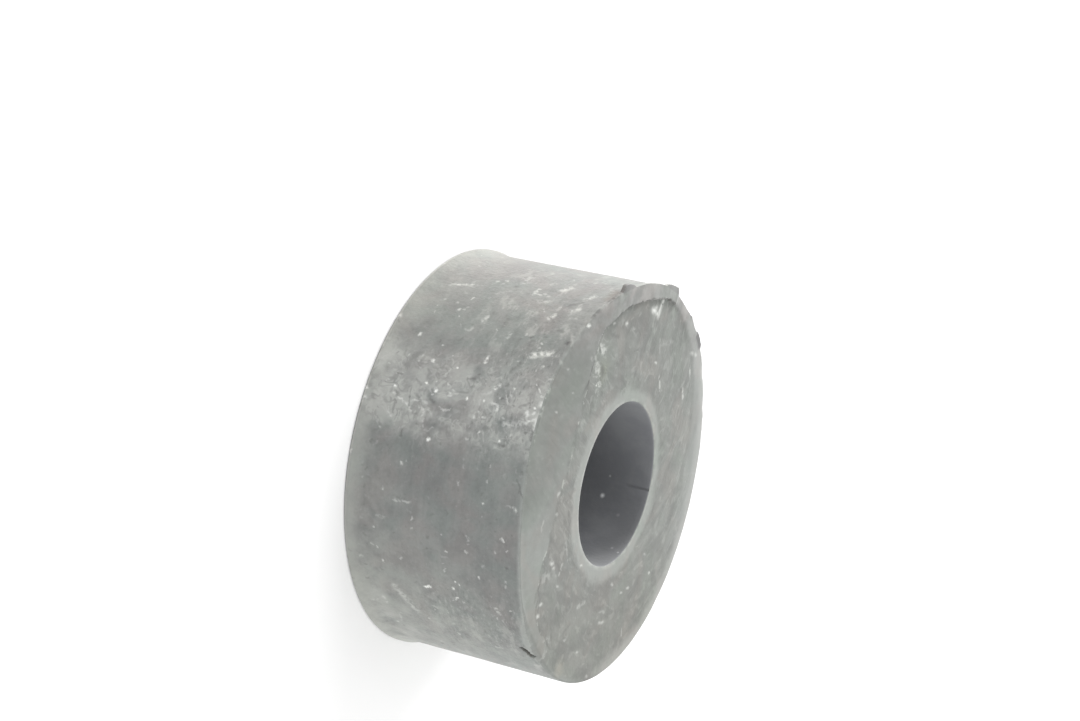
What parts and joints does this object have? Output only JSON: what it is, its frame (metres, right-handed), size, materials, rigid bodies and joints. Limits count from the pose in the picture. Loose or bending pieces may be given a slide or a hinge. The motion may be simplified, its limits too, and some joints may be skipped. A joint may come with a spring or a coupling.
{
  "type": "kickstand rubber stopper",
  "caption": "Thick grey-black rubber ring with a plain through bore that cushions a kickstand where it stops, worn and dusty, with a torn moulding fin on its front rim.",
  "frame": {"origin": "middle of the rear face, on the bore's axis", "axes": "+Z along the bore from the rear face to the front face; -X towards the torn fin on the front rim; -Y towards the side that the picture shows"},
  "size_m": [0.0255, 0.0254, 0.012],
  "materials": {
    "rubber": "matte"
  },
  "bodies": {
    "root": {"stopper": "rubber"}
  },
  "joints": []
}
